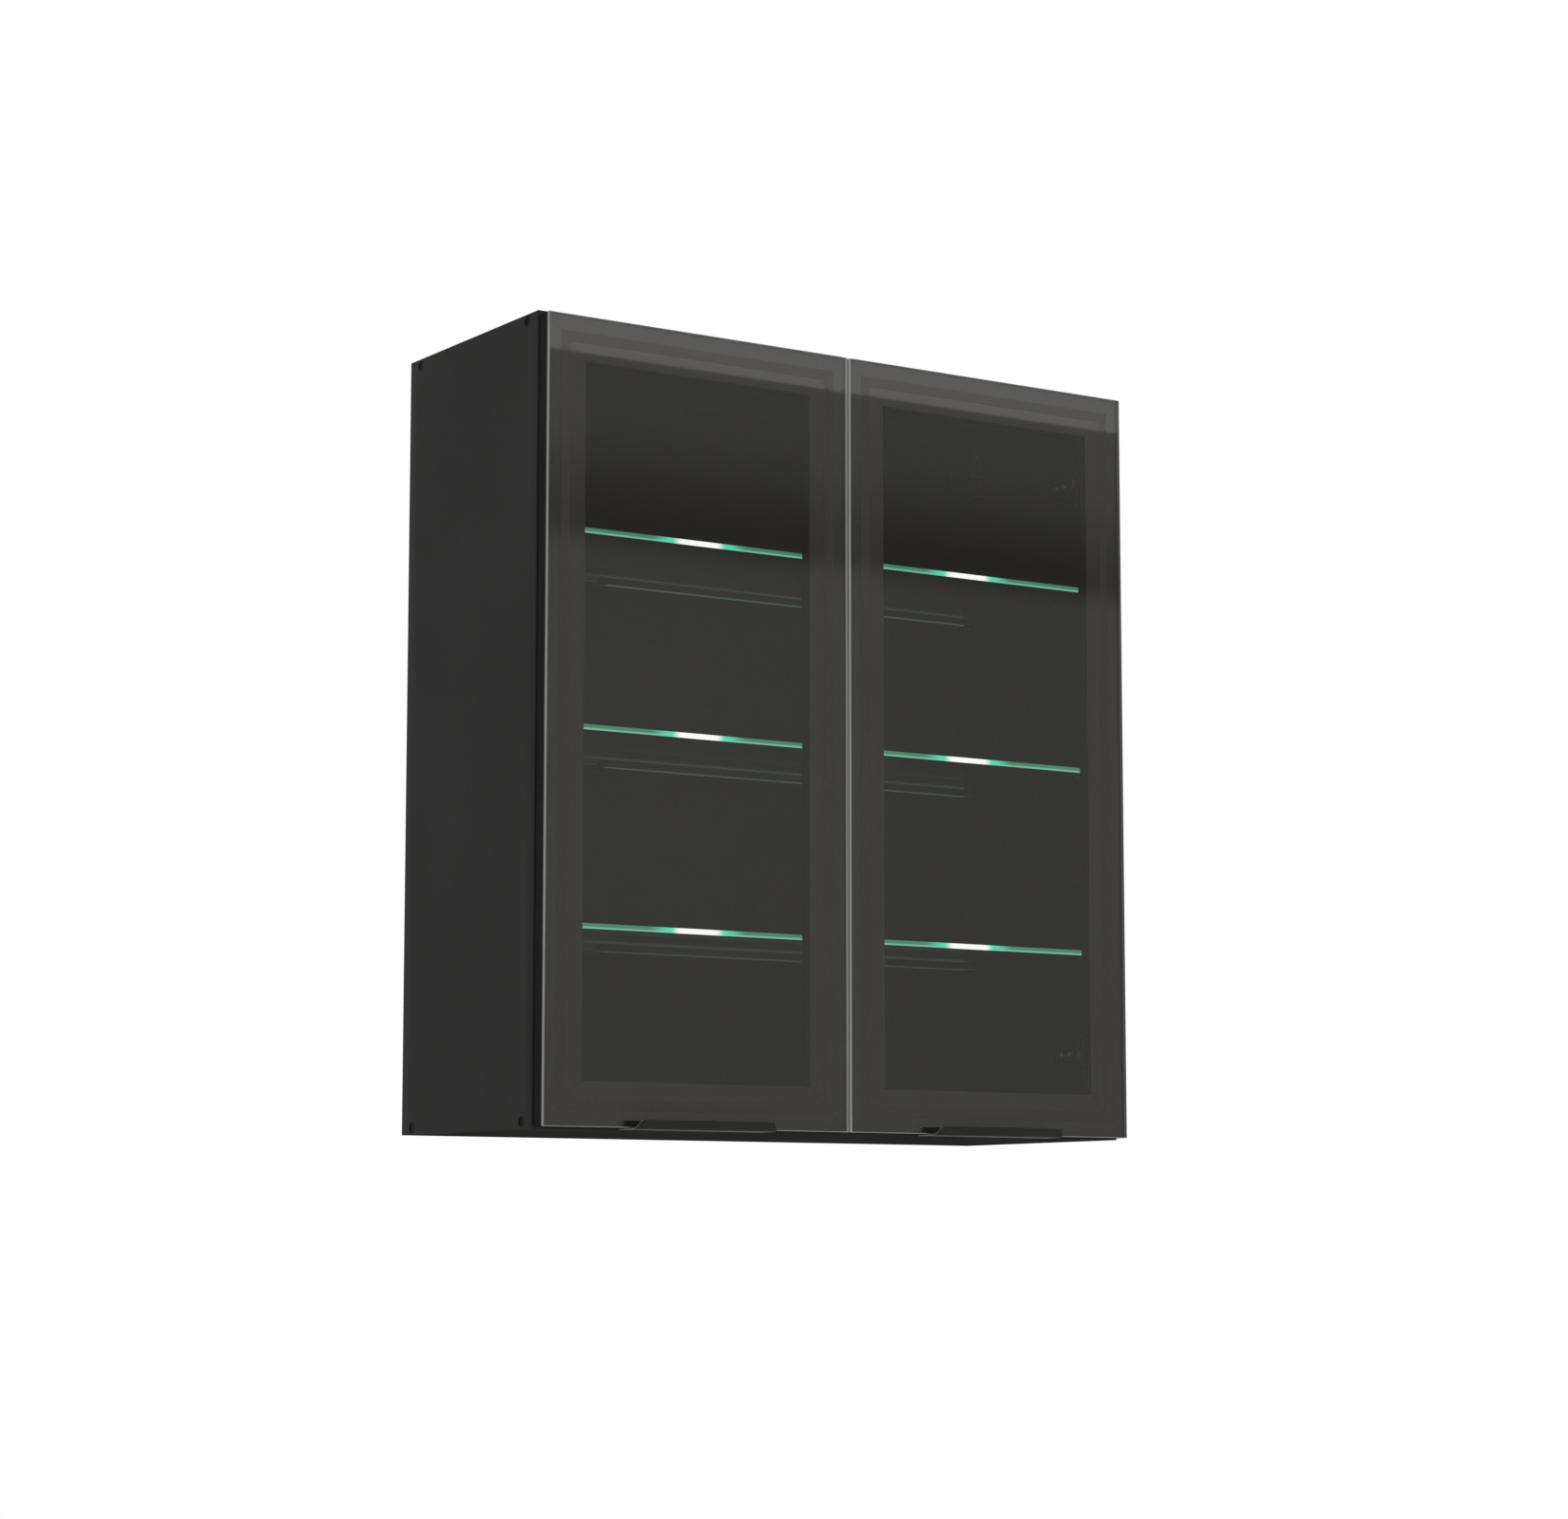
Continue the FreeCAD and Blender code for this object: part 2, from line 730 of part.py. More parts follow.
def build_hangers():
    save("hanger_housings", both_sides([hanger_housing()]))
    save("hanger_hooks", both_sides([hanger_hook()]))
    save("hanger_screws", both_sides(hanger_screws()))
    save("hanger_pegs", both_sides(hanger_pegs()))


def build_cabinet_hinges():
    save("hinge_mounting_plates", both_sides([mounting_plate(z) for z in hinge_levels]))
    save("hinge_plate_screws", both_sides([screw for z in hinge_levels for screw in plate_screws(z)]))
    save("hinge_arms", both_sides([hinge_arm(z) for z in hinge_levels]))
    save("hinge_arm_screws", both_sides([screw for z in hinge_levels for screw in arm_screws(z)]))
    save("hinge_arm_pins", both_sides([arm_hinge_pin(z) for z in hinge_levels]))
    save("hinge_closing_springs", both_sides([closing_spring(z) for z in hinge_levels]))


def left_door_nodes():
    """The left door and its links: node name to its solids."""
    nodes = frame_members()
    for name in nodes:
        nodes[name] = cut(nodes[name], corner_dowels())
    for z in hinge_levels:
        nodes["hinge_stile"] = cut(nodes["hinge_stile"], [cup_bore(z)] + cup_screws(z))
    nodes["bottom_rail"] = cut(nodes["bottom_rail"], [pull_rebate()] + pull_screws())
    nodes["corner_dowels"] = corner_dowels()
    nodes["bonding_tape"] = bonding_tape()
    nodes["glass_pane"] = door_pane()
    nodes["bumpers"] = door_bumpers()
    nodes["edge_pull"] = edge_pull()
    nodes["pull_screws"] = pull_screws()
    nodes["hinge_cups"] = [hinge_cup(z) for z in hinge_levels]
    nodes["cup_screws"] = [screw for z in hinge_levels for screw in cup_screws(z)]
    nodes["cup_pins"] = [cup_hinge_pin(z) for z in hinge_levels]
    nodes["hinge_links"] = [hinge_link(z) for z in hinge_levels]
    return nodes


def build_doors():
    for name, shapes in left_door_nodes().items():
        shapes = [shapes] if hasattr(shapes, "exportStep") else shapes
        save("left_" + name, shapes)
        save("right_" + name, [mirrored(shape) for shape in shapes])


os.makedirs("parts", exist_ok=True)
build_carcass()
build_shelves()
build_hangers()
build_cabinet_hinges()
build_doors()
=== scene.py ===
import json
import math

import bmesh
import bpy
from mathutils import Matrix, Vector

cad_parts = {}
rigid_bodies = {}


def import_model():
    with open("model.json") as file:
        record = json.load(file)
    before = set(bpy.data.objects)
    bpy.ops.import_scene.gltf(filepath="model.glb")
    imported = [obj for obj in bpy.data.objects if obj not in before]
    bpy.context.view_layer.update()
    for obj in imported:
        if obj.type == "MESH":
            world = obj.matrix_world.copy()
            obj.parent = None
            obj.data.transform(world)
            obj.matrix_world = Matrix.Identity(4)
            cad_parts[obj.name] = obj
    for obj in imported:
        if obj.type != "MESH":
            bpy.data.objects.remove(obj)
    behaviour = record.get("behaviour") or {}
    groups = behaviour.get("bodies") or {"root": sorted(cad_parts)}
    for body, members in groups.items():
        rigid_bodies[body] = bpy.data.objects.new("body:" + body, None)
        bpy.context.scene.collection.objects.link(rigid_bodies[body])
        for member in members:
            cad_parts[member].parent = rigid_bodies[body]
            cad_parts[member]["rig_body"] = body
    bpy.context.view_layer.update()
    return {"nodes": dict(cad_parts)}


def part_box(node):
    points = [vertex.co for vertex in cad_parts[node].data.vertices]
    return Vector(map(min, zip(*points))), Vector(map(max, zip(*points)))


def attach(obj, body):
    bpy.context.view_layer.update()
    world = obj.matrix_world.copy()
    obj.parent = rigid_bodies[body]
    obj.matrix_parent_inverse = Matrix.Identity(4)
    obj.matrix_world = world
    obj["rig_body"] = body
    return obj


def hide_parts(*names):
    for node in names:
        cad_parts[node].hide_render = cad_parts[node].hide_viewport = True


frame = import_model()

scene = bpy.context.scene
nodes = frame["nodes"]
sides = ("left", "right")
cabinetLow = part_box("left_side_panel")[0]

weldReach = 0.00002  # corners nearer than this become one
flatTurn = 0.5  # degrees by which two parts of one flat face may differ
nearly = 0.00001  # slack when corners are picked by their place
facing = 0.9  # the least part of a face's normal along the way that it looks
noiseMiddle = (0.3, 0.7)  # nearly all of a noise lies between these


def deselectAll():
    if bpy.context.object and bpy.context.object.mode != "OBJECT":
        bpy.ops.object.mode_set(mode="OBJECT")
    bpy.ops.object.select_all(action="DESELECT")


# Camera, light and floor

cameraSettings = {
    "place": (-2.384, -3.799, -0.984),
    "turn": 33.42,
    "rise": 6.90,
    "lens": 85.46,
    "sensor": 36.0,
    "shiftUp": 0.025,
}

lightSettings = {
    "backdrop": (1.0, 1.0, 1.0),
    "surround": (0.56, 0.552, 0.54),
    "shadeBand": (0.26, 0.25, 0.24),
    "bandStops": (0.218, 0.228, 0.268),
    "sideLight": {"place": (-3.4, -0.6, 0.2), "aim": (-0.4, -0.15, -0.4), "size": (2.2, 2.6), "power": 22},
    "frontLight": {"place": (-0.6, -4.2, 2.6), "aim": (0.0, -0.3, -0.4), "size": (2.6, 1.2), "power": 40},
    "rearLight": {"place": (1.6, 3.2, 1.4), "aim": (0.0, 0.0, -0.4), "size": (2.4, 1.6), "power": 40},
    "ceilingCard": {"place": (2.23, -3.9, 1.46), "aim": (2.23, 0.0, 1.46), "size": (2.06, 0.9), "power": 5},
}

floorSettings = {
    "drop": 1.35,
    "radius": 4.2,
    "vertices": 96,
    "colour": (0.80, 0.79, 0.77),
    "darker": 0.97,
    "cloud": (1.5, 3, 0.5),
    "roughness": 0.6,
}


def makeCamera(settings):
    deselectAll()
    turn = (math.radians(90 + settings["rise"]), 0, math.radians(-settings["turn"]))
    bpy.ops.object.camera_add(location=settings["place"], rotation=turn)
    camera = bpy.context.object
    camera.data.lens = settings["lens"]
    camera.data.sensor_width = settings["sensor"]
    camera.data.shift_y = settings["shiftUp"]
    camera.data.dof.use_dof = False
    scene.camera = camera


def makeAreaLight(name, settings, mirrored):
    deselectAll()
    bpy.ops.object.light_add(type="AREA", location=settings["place"])
    lamp = bpy.context.object
    lamp.name = name
    lamp.data.shape = "RECTANGLE"
    lamp.data.size, lamp.data.size_y = settings["size"]
    lamp.data.energy = settings["power"]
    aim = Vector(settings["aim"]) - Vector(settings["place"])
    lamp.rotation_euler = aim.to_track_quat("-Z", "Y").to_euler()
    lamp.visible_camera = False
    lamp.visible_glossy = mirrored


# Shader maths: a wire is one socket, and sums and products of wires add their own Math nodes

class Wire:
    def __init__(self, finish, socket):
        self.finish = finish
        self.socket = socket

    def maths(self, operation, *values):
        return self.finish.add("ShaderNodeMath", {"operation": operation}, dict(enumerate(values)))

    def __add__(self, other):
        return self.maths("ADD", self, other)

    def __radd__(self, other):
        return self.maths("ADD", other, self)

    def __sub__(self, other):
        return self.maths("SUBTRACT", self, other)

    def __rsub__(self, other):
        return self.maths("SUBTRACT", other, self)

    def __mul__(self, other):
        return self.maths("MULTIPLY", self, other)

    def __rmul__(self, other):
        return self.maths("MULTIPLY", other, self)

    def __truediv__(self, other):
        return self.maths("DIVIDE", self, other)

    def __pow__(self, other):
        return self.maths("POWER", self, other)

    def __abs__(self):
        return self.maths("ABSOLUTE", self)


class Finish:
    # a material and its node tree, or any other node tree such as the world's
    def __init__(self, name, tree=None):
        self.material = None
        if tree is None:
            self.material = bpy.data.materials.new(name)
            self.material.use_nodes = True
            tree = self.material.node_tree
        self.tree = tree
        self.tree.nodes.clear()

    def add(self, kind, settings=None, inputs=None, output=0):
        node = self.tree.nodes.new(kind)
        for key, value in (settings or {}).items():
            if key == "stops":
                self.setStops(node.color_ramp, value)
            else:
                setattr(node, key, value)
        for key, value in (inputs or {}).items():
            socket = node.inputs[key]
            if isinstance(value, Wire):
                self.tree.links.new(value.socket, socket)
            elif socket.type == "RGBA" and len(value) == 3:
                socket.default_value = (*value, 1)
            else:
                socket.default_value = value
        return Wire(self, node.outputs[output]) if len(node.outputs) else node

    def setStops(self, ramp, stops):
        while len(ramp.elements) < len(stops):
            ramp.elements.new(0.5)
        for element, (place, colour) in zip(ramp.elements, stops):
            element.position = place
            element.color = (*colour, 1)

    def place(self):
        return self.add("ShaderNodeTexCoord", output="Object")

    def axes(self, vector):
        return [self.add("ShaderNodeSeparateXYZ", {}, {0: vector}, axis) for axis in ("X", "Y", "Z")]

    def stretched(self, scale):
        return self.add("ShaderNodeMapping", {}, {"Vector": self.place(), "Scale": scale})

    def noise(self, scale, detail=2.0, roughness=0.5, vector=None):
        inputs = {"Vector": vector or self.place(), "Scale": scale, "Detail": detail, "Roughness": roughness}
        return self.add("ShaderNodeTexNoise", {}, inputs)

    def ramped(self, value, stops):
        return self.add("ShaderNodeValToRGB", {"stops": stops}, {0: value})

    def between(self, value, fromLow, fromHigh, toLow, toHigh):
        inputs = {"Value": value, "From Min": fromLow, "From Max": fromHigh}
        inputs.update({"To Min": toLow, "To Max": toHigh})
        return self.add("ShaderNodeMapRange", {"interpolation_type": "SMOOTHSTEP"}, inputs)

    def spread(self, noise, low, high):
        return self.between(noise, *noiseMiddle, low, high)

    def around(self, noise, middle, reach):
        return self.spread(noise, middle - reach, middle + reach)

    def blend(self, factor, first, second):
        return self.add("ShaderNodeMix", {"data_type": "RGBA"}, {0: factor, 6: first, 7: second}, 2)

    def bump(self, height, strength, distance):
        inputs = {"Height": height, "Strength": strength, "Distance": distance}
        return self.add("ShaderNodeBump", {}, inputs)

    def close(self, surface, kind="ShaderNodeOutputMaterial"):
        self.add(kind, {}, {"Surface": surface})
        return self.material

    def shade(self, inputs):
        return self.close(self.add("ShaderNodeBsdfPrincipled", {}, inputs))


# Finishes: a noise has a scale, a detail and a roughness, and a bump has a strength and a depth

def toned(colour, factor):
    return tuple(part * factor for part in colour)


laminateSettings = {
    "pore": (1500, 2, 0.6),
    "cloud": (7, 3, 0.5),
    "poreShare": 0.3,
    "toneMiddle": (0.35, 0.65),
    "grain": 0.10,
    "roughnessReach": 0.05,
    "bump": (0.10, 0.0002),
    # each kind's material, colour, roughness and shine
    "kinds": {
        "board": ("carcassLaminate", (0.017, 0.017, 0.017), 0.55, 0.18),
        "band": ("edgeBandLaminate", (0.015, 0.015, 0.015), 0.45, 0.2),
        "backFace": ("backLacquer", (0.017, 0.017, 0.017), 0.60, 0.25),
        # the underside is the same melamine, painted about twice as light as the boards: painted light on
        # the faces that look down
        "underside": ("undersideLaminate", (0.033, 0.033, 0.033), 0.7, 0.0),
        "frame": ("doorFrameFoil", (0.064, 0.062, 0.058), 0.45, 0.4),
        "frameEdge": ("doorFrameEdge", (0.018, 0.018, 0.018), 0.55, 0.0),
        # the tape is the frame's grey painted lighter, painted light that evens out the shade of its band
        # behind the pane
        "tape": ("bondingTape", (0.092, 0.089, 0.084), 0.45, 0.4),
    },
}


def finishLaminate(name, colour, roughness, shine):
    # a melamine face: a very fine pore and a faint cloudiness over the sheet
    kit = laminateSettings
    finish = Finish(name)
    pore = finish.noise(*kit["pore"])
    cloud = finish.noise(*kit["cloud"])
    tone = finish.between(cloud * (1 - kit["poreShare"]) + pore * kit["poreShare"], *kit["toneMiddle"], 0, 1)
    return finish.shade({
        "Base Color": finish.blend(tone, toned(colour, 1 - kit["grain"]), toned(colour, 1 + kit["grain"])),
        "Roughness": finish.around(pore, roughness, kit["roughnessReach"]),
        "Specular IOR Level": shine,
        "Normal": finish.bump(pore, *kit["bump"]),
    })


chipboardSettings = {
    "chipScale": 420,
    "chipStretch": (1, 1, 2.2),
    "fine": (1600, 3, 0.7),
    "fineShare": 0.4,
    "stops": [(0.2, (0.20, 0.115, 0.055)), (0.5, (0.38, 0.25, 0.14)), (0.8, (0.52, 0.38, 0.23))],
    "roughness": 0.85,
    "bump": (0.5, 0.0006),
}


def finishChipboard(name):
    # the bare core where a board's rear edge has no band: pressed chips of several browns
    kit = chipboardSettings
    finish = Finish(name)
    place = finish.stretched(kit["chipStretch"])
    chips = finish.add("ShaderNodeTexVoronoi", {}, {"Vector": place, "Scale": kit["chipScale"]}, "Color")
    fine = finish.noise(*kit["fine"])
    tone = finish.axes(chips)[0] * (1 - kit["fineShare"]) + fine * kit["fineShare"]
    return finish.shade({
        "Base Color": finish.ramped(tone, kit["stops"]),
        "Roughness": kit["roughness"],
        "Normal": finish.bump(tone, *kit["bump"]),
    })


fibreboardSettings = {
    "fibre": (700, 4, 0.7),
    "fibreStretch": (1, 1, 3),
    "cloud": (11, 3, 0.5),
    "cloudShare": 0.4,
    "stops": [(0.3, (0.155, 0.085, 0.042)), (0.7, (0.255, 0.155, 0.082))],
    "roughness": (0.55, 0.75),
    "bump": (0.25, 0.0003),
}


def finishFibreboard(name):
    # the unpainted rear of the thin back: fine brown fibres pressed flat
    kit = fibreboardSettings
    finish = Finish(name)
    fibre = finish.noise(*kit["fibre"], finish.stretched(kit["fibreStretch"]))
    cloud = finish.noise(*kit["cloud"])
    tone = fibre * (1 - kit["cloudShare"]) + cloud * kit["cloudShare"]
    return finish.shade({
        "Base Color": finish.ramped(tone, kit["stops"]),
        "Roughness": finish.spread(fibre, *kit["roughness"]),
        "Normal": finish.bump(fibre, *kit["bump"]),
    })


beechSettings = {
    "grain": (260, 3, 0.6),
    "grainStretch": (0.15, 1, 1),
    "stops": [(0.3, (0.42, 0.25, 0.13)), (0.7, (0.60, 0.42, 0.25))],
    "roughness": 0.6,
}


def finishBeech(name):
    kit = beechSettings
    finish = Finish(name)
    grain = finish.noise(*kit["grain"], finish.stretched(kit["grainStretch"]))
    return finish.shade({"Base Color": finish.ramped(grain, kit["stops"]), "Roughness": kit["roughness"]})


plasticSettings = {
    "grain": (2600, 2, 0.5),
    "lighter": 1.35,
    "roughnessReach": 0.07,
    "bump": (0.15, 0.0001),
    # each kind's material, colour, roughness and shine
    "kinds": {
        "cap": ("blackCapPlastic", (0.0015, 0.0015, 0.0015), 0.5, 0.08),
        "hanger": ("hangerPlastic", (0.035, 0.035, 0.037), 0.5, 0.5),
    },
}


def finishPlastic(name, colour, roughness, shine):
    # moulded plastic with a fine spark-eroded grain
    kit = plasticSettings
    finish = Finish(name)
    grain = finish.noise(*kit["grain"])
    return finish.shade({
        "Base Color": finish.blend(grain, colour, toned(colour, kit["lighter"])),
        "Roughness": finish.around(grain, roughness, kit["roughnessReach"]),
        "Specular IOR Level": shine,
        "Normal": finish.bump(grain, *kit["bump"]),
    })


powderSettings = {
    "colour": (0.021, 0.021, 0.021),
    "lighter": 1.3,
    "cloud": (60, 2, 0.5),
    "lumpScale": 1900,
    "roughness": (0.42, 0.52),
    "shine": 0.15,
    "bump": (0.22, 0.00012),
}


def finishPowderCoat(name):
    # a matt powder coat: small rounded bumps that break up the highlight
    kit = powderSettings
    finish = Finish(name)
    inputs = {"Vector": finish.place(), "Scale": kit["lumpScale"]}
    lumps = finish.add("ShaderNodeTexVoronoi", {"feature": "SMOOTH_F1"}, inputs)
    cloud = finish.noise(*kit["cloud"])
    return finish.shade({
        "Base Color": finish.blend(cloud, kit["colour"], toned(kit["colour"], kit["lighter"])),
        "Roughness": finish.spread(cloud, *kit["roughness"]),
        "Specular IOR Level": kit["shine"],
        "Normal": finish.bump(lumps, *kit["bump"]),
    })


platedSettings = {
    "scuff": (900, 3, 0.7),
    "scuffStretch": (1, 1, 0.2),
    "darker": 0.82,
    "smoother": 0.07,
    "rougher": 0.08,
    "bump": (0.08, 0.0001),
    # each kind's material, colour and roughness
    "kinds": {
        "steel": ("nickelPlate", (0.60, 0.60, 0.58), 0.28),
        "hook": ("zincHookSteel", (0.22, 0.22, 0.21), 0.45),
        "clip": ("darkClipAluminium", (0.060, 0.061, 0.063), 0.38),
        "pin": ("blackNickelPin", (0.045, 0.045, 0.047), 0.5),
        "pullCut": ("cutSheetEnd", (0.30, 0.30, 0.30), 0.3),
    },
}


def finishPlatedMetal(name, colour, roughness):
    # plated stampings, scuffed faintly by the tumbling drum
    kit = platedSettings
    finish = Finish(name)
    scuff = finish.noise(*kit["scuff"], finish.stretched(kit["scuffStretch"]))
    return finish.shade({
        "Base Color": finish.blend(finish.spread(scuff, 0, 1), toned(colour, kit["darker"]), colour),
        "Metallic": 1.0,
        "Roughness": finish.spread(scuff, roughness - kit["smoother"], roughness + kit["rougher"]),
        "Normal": finish.bump(scuff, *kit["bump"]),
    })


glassSettings = {
    "mirrorAtRest": 0.042,
    "mirrorGrowth": 5,
    "wiped": (5, 3, 0.6),
    "wipedStretch": (1, 1, 3),
    "roughness": 0.012,
    "wipedShare": 1.8,
    # each kind's material and tint
    "kinds": {
        "pane": ("tintedDoorGlass", (0.745, 0.738, 0.725)),
        "shelf": ("clearShelfGlass", (0.955, 0.985, 0.970)),
    },
}


def finishSheetGlass(name, tint):
    # clear or tinted glass whose mirror share grows towards a glancing view, with faint wiping marks
    kit = glassSettings
    finish = Finish(name)
    turned = finish.add("ShaderNodeLayerWeight", {}, {"Blend": 0.5}, "Facing")
    mirror = kit["mirrorAtRest"] + (1 - kit["mirrorAtRest"]) * turned ** kit["mirrorGrowth"]
    wiped = finish.noise(*kit["wiped"], finish.stretched(kit["wipedStretch"]))
    roughness = finish.spread(wiped, kit["roughness"], kit["roughness"] * kit["wipedShare"])
    clear = finish.add("ShaderNodeBsdfTransparent", {}, {"Color": tint})
    gloss = finish.add("ShaderNodeBsdfGlossy", {}, {"Color": (1, 1, 1), "Roughness": roughness})
    return finish.close(finish.add("ShaderNodeMixShader", {}, {0: mirror, 1: clear, 2: gloss}))


paneEdgeSettings = {
    "colour": (0.28, 0.29, 0.285),
    "darker": 0.8,
    "grind": (500, 3, 0.6),
    "grindStretch": (1, 1, 0.15),
    "roughness": (0.16, 0.26),
    "coat": 0.3,
    "coatRoughness": 0.08,
    "paintedMeetingGlow": (0.13, 0.135, 0.133),
    "meetingReach": 0.012,
}


def finishGroundEdge(name):
    # a pane's ground and polished edge, a pale satin grey, with a faint painted glow (emission) where the
    # doors meet that stands in for light carried inside the glass
    kit = paneEdgeSettings
    finish = Finish(name)
    across = finish.axes(finish.place())[0]
    meeting = finish.between(abs(across), 0, kit["meetingReach"], 1, 0)
    ground = finish.noise(*kit["grind"], finish.stretched(kit["grindStretch"]))
    return finish.shade({
        "Base Color": finish.blend(ground, toned(kit["colour"], kit["darker"]), kit["colour"]),
        "Roughness": finish.spread(ground, *kit["roughness"]),
        "Coat Weight": kit["coat"],
        "Coat Roughness": kit["coatRoughness"],
        "Emission Color": finish.blend(meeting, (0, 0, 0), kit["paintedMeetingGlow"]),
        "Emission Strength": 1.0,
    })


paintedGlowEdgeSettings = {
    "glass": ((0.010, 0.045, 0.030), (0.015, 0.065, 0.045)),
    "cloud": (90, 2, 0.5),
    "roughness": 0.12,
    "upperGreen": (0.037, 0.200, 0.116),
    "lowerGreen": (0.145, 0.440, 0.295),
    "lowerShare": 0.34,
    "blur": 0.0004,
    "mint": (0.076, 0.650, 0.420),
    "white": (0.95, 0.97, 0.98),
    "strength": 1.9,
    "whiteReach": 0.022,
    "whiteEnd": 0.036,
    "mintReach": 0.066,
}


def finishPaintedGlowEdge(name, lowZ, highZ, clipX):
    # a shelf's front edge with a painted glow (emission) for the light that the lamps send through the
    # glass: white straight ahead of each lamp, then mint, then two greens
    kit = paintedGlowEdgeSettings
    finish = Finish(name)
    across, _, height = finish.axes(finish.place())
    fromLamp = abs(abs(across) - clipX)
    white = finish.between(fromLamp, kit["whiteReach"], kit["whiteEnd"], 1, 0)
    mint = finish.between(fromLamp, kit["whiteEnd"], kit["mintReach"], 1, 0)
    step = lowZ + (highZ - lowZ) * kit["lowerShare"]
    upper = finish.between(height, step - kit["blur"], step + kit["blur"], 0, 1)
    green = finish.blend(upper, kit["lowerGreen"], kit["upperGreen"])
    return finish.shade({
        "Base Color": finish.blend(finish.noise(*kit["cloud"]), *kit["glass"]),
        "Roughness": kit["roughness"],
        "Emission Color": finish.blend(white, finish.blend(mint, green, kit["mint"]), kit["white"]),
        "Emission Strength": kit["strength"],
    })


dimEdgeSettings = {
    "streak": (120, 2, 0.6),
    "streakStretch": (1, 1, 0.2),
    "farGlass": ((0.008, 0.040, 0.028), (0.014, 0.062, 0.044)),
    "farRoughness": 0.12,
    "farGlowLineGreen": (0.150, 0.235, 0.195),
    "farShare": 0.30,
    "blur": 0.0003,
    "endGlass": ((0.006, 0.016, 0.012), (0.009, 0.024, 0.018)),
    "endRoughness": 0.2,
    "endShine": 0.2,
}


def finishFarEdge(name, lowZ, highZ):
    # the rear edge of a shelf, where a thin painted glow line (emission) along the foot stands in for the
    # light that it passes on
    kit = dimEdgeSettings
    finish = Finish(name)
    height = finish.axes(finish.place())[2]
    step = lowZ + (highZ - lowZ) * kit["farShare"]
    line = finish.between(height, step - kit["blur"], step + kit["blur"], 1, 0)
    streak = finish.noise(*kit["streak"], finish.stretched(kit["streakStretch"]))
    return finish.shade({
        "Base Color": finish.blend(streak, *kit["farGlass"]),
        "Roughness": kit["farRoughness"],
        "Emission Color": finish.blend(line, (0, 0, 0), kit["farGlowLineGreen"]),
        "Emission Strength": 1.0,
    })


def finishEndEdge(name):
    # the short edges of a shelf beside the cabinet's sides, deep green and unlit
    kit = dimEdgeSettings
    finish = Finish(name)
    streak = finish.noise(*kit["streak"], finish.stretched(kit["streakStretch"]))
    return finish.shade({
        "Base Color": finish.blend(streak, *kit["endGlass"]),
        "Roughness": kit["endRoughness"],
        "Specular IOR Level": kit["endShine"],
    })


lensSettings = {
    "colour": (0.10, 0.105, 0.105),
    "darker": 0.8,
    "ribScale": 160,
    "roughness": 0.5,
    "shine": 0.2,
    "glow": (0.045, 0.055, 0.052),
}


def finishLens(name):
    # the ribbed strip over a lamp, nearly dark, because the light leaves by the shelf's edge
    kit = lensSettings
    finish = Finish(name)
    rib = finish.add("ShaderNodeTexWave", {}, {"Vector": finish.place(), "Scale": kit["ribScale"]})
    return finish.shade({
        "Base Color": finish.blend(rib, toned(kit["colour"], kit["darker"]), kit["colour"]),
        "Roughness": kit["roughness"],
        "Specular IOR Level": kit["shine"],
        "Emission Color": kit["glow"],
        "Emission Strength": 1.0,
    })


softSettings = {
    "colour": (0.10, 0.10, 0.10),
    "lighter": 1.3,
    "cloud": (300, 2, 0.5),
    "roughness": 0.35,
    "roughnessReach": 0.05,
    "alpha": 0.75,
}


def finishSoft(name):
    # clear-ish silicone of bumpers and shelf pads
    kit = softSettings
    finish = Finish(name)
    cloud = finish.noise(*kit["cloud"])
    return finish.shade({
        "Base Color": finish.blend(cloud, kit["colour"], toned(kit["colour"], kit["lighter"])),
        "Roughness": finish.around(cloud, kit["roughness"], kit["roughnessReach"]),
        "Alpha": kit["alpha"],
    })


finishes = {}


def mixFinishes():
    makers = (
        (finishLaminate, laminateSettings),
        (finishPlastic, plasticSettings),
        (finishPlatedMetal, platedSettings),
        (finishSheetGlass, glassSettings),
    )
    for maker, kit in makers:
        for key, recipe in kit["kinds"].items():
            finishes[key] = maker(*recipe)
    finishes["core"] = finishChipboard("bareChipboard")
    finishes["backRear"] = finishFibreboard("bareFibreboard")
    finishes["beech"] = finishBeech("beechDowel")
    finishes["paneEdge"] = finishGroundEdge("polishedPaneEdge")
    finishes["endEdge"] = finishEndEdge("shelfEndEdge")
    finishes["pull"] = finishPowderCoat("blackPowderCoat")
    finishes["lens"] = finishLens("lampLens")
    finishes["soft"] = finishSoft("clearSilicone")


# Modelling helpers

def bodyOf(nodeName):
    return nodes[nodeName]["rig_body"]


def activate(piece):
    deselectAll()
    piece.select_set(True)
    bpy.context.view_layer.objects.active = piece


def leaveEdit():
    bpy.ops.object.mode_set(mode="OBJECT")


def fixPlace():
    bpy.ops.object.transform_apply(location=True, rotation=True, scale=True)


def editMesh(piece, kind="EDGE"):
    activate(piece)
    bpy.ops.object.mode_set(mode="EDIT")
    bpy.ops.mesh.select_mode(type=kind)
    bpy.ops.mesh.select_all(action="DESELECT")
    return bmesh.from_edit_mesh(piece.data)


def pick(piece, mesh, elements, chosen):
    # selects in edit mode the faces, edges or vertices that pass a test
    for element in elements:
        element.select_set(bool(chosen(element)))
    mesh.select_flush_mode()
    bmesh.update_edit_mesh(piece.data)


def bevelPicked(width, segments=2):
    bpy.ops.mesh.bevel(offset_type="OFFSET", offset=width, segments=segments, profile=0.5,
                       clamp_overlap=False)
    leaveEdit()


